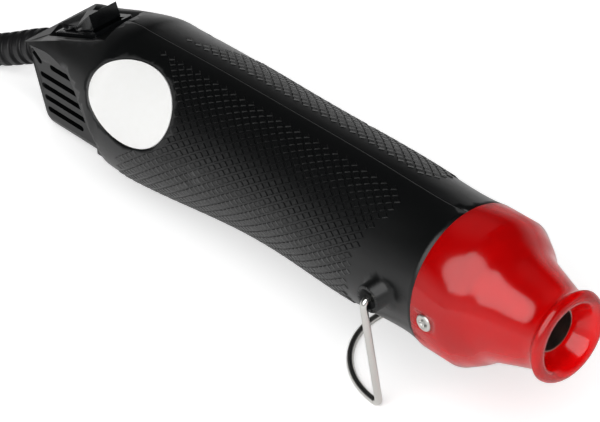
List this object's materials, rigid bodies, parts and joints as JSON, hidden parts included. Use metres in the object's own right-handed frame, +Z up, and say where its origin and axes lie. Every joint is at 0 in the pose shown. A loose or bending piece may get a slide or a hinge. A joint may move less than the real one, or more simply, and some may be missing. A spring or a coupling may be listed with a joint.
{
  "type": "embossing heat tool",
  "caption": "Hand-held hot air tool with a round black barrel, red nozzle cap, rocker switch, fold-out wire stand and supply cord.",
  "frame": {"origin": "on the floor, under the middle of the tool standing on its wire foot and heel", "axes": "+X forward towards the nozzle, +Y to the tool's left, +Z up"},
  "size_m": [0.3607, 0.0813, 0.0623],
  "materials": {
    "black_housing": "moulded black ABS with a fine satin grain",
    "white_label": "smooth white plate",
    "red_cap": "translucent red polycarbonate, glossy",
    "zinc_screw": "zinc-plated steel",
    "steel_wire": "bright nickel-plated steel wire",
    "outlet_steel": "drawn stainless steel",
    "mica": "pressed mica sheet",
    "resistance_wire": "nickel-chromium wire",
    "brass": "stamped brass",
    "can_steel": "plated steel can",
    "magnet": "sintered ferrite",
    "iron_core": "stacked iron sheet",
    "fan_nylon": "moulded nylon",
    "end_cap_nylon": "moulded nylon, natural",
    "board": "phenolic board",
    "diode_black": "moulded epoxy",
    "capacitor_red": "dipped epoxy",
    "switch_black": "moulded black nylon, fairly glossy",
    "cord_black": "black flexible vinyl",
    "lead_brown": "silicone-covered lead",
    "lead_blue": "silicone-covered lead",
    "pin_brass": "nickel-plated brass"
  },
  "bodies": {
    "housing": {"left_shell": "black_housing", "right_shell": "black_housing", "shell_screws": "zinc_screw", "label": "white_label", "nozzle_cap": "red_cap", "cap_screws": "zinc_screw", "outlet_nozzle": "outlet_steel", "heater_sleeve": "mica", "heater_base": "mica", "heater_terminals": "brass", "mica_plate_flat": "mica", "mica_plate_upright": "mica", "heater_coil": "resistance_wire", "thermal_cutout": "can_steel", "motor_can": "can_steel", "motor_magnets": "magnet", "motor_end_cap": "end_cap_nylon", "motor_terminals": "brass", "rectifier_board": "board", "diodes": "diode_black", "capacitor": "capacitor_red", "switch_body": "switch_black", "switch_terminals": "brass", "strain_relief": "cord_black", "live_lead": "lead_brown", "switch_lead": "lead_brown", "neutral_lead": "lead_blue", "supply_cord": "cord_black", "cord_coil": "cord_black", "plug": "cord_black", "plug_prongs": "pin_brass"},
    "rocker": {"rocker": "switch_black"},
    "stand": {"wire_stand": "steel_wire"},
    "rotor": {"motor_shaft": "can_steel", "armature": "iron_core", "fan": "fan_nylon"}
  },
  "joints": [
    {"name": "rocker_tilt", "type": "hinge", "parent": "housing", "child": "rocker", "pos_m": [-0.0898, 0, 0.03666], "axis": [0, 1, 0], "range_deg": [0, 22]},
    {"name": "stand_fold", "type": "hinge", "parent": "housing", "child": "stand", "pos_m": [0.05462, 0, 0.03784], "axis": [0, 1, 0], "range_deg": [-90, 0]},
    {"name": "fan_spin", "type": "hinge", "parent": "housing", "child": "rotor", "pos_m": [-0.00813, 0, 0.03232], "axis": [0.9962, 0, 0.0876], "continuous": true}
  ]
}
